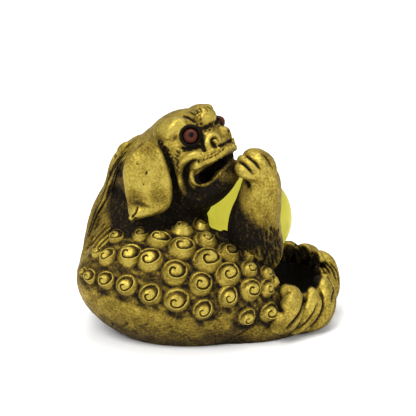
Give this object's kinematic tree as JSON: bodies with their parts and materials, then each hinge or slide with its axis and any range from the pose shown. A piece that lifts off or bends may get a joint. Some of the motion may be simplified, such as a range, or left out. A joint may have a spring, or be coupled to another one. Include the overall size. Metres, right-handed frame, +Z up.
{
  "type": "pixiu figure",
  "caption": "Small cast pixiu figure, curled round a translucent ball with its forepaw at its open mouth and a curly flank, for a desk or shelf.",
  "frame": {"origin": "on the ground, under the middle of the figure's bounding box", "axes": "+Z up; +X towards the curled tail, along the length; -Y towards the side that the head is turned to, and +Y towards the side where the ball lies open"},
  "size_m": [0.0506, 0.0376, 0.0442],
  "materials": {
    "aged_brass": "worn brass with a black-brown patina in every hollow",
    "yellow_stone": "polished, milky and translucent yellow-green",
    "eye_glass": "glossy red-brown bead with a black pupil"
  },
  "bodies": {
    "root": {"figure": "aged_brass", "ball": "yellow_stone", "eye_right": "eye_glass", "eye_left": "eye_glass"}
  },
  "joints": []
}
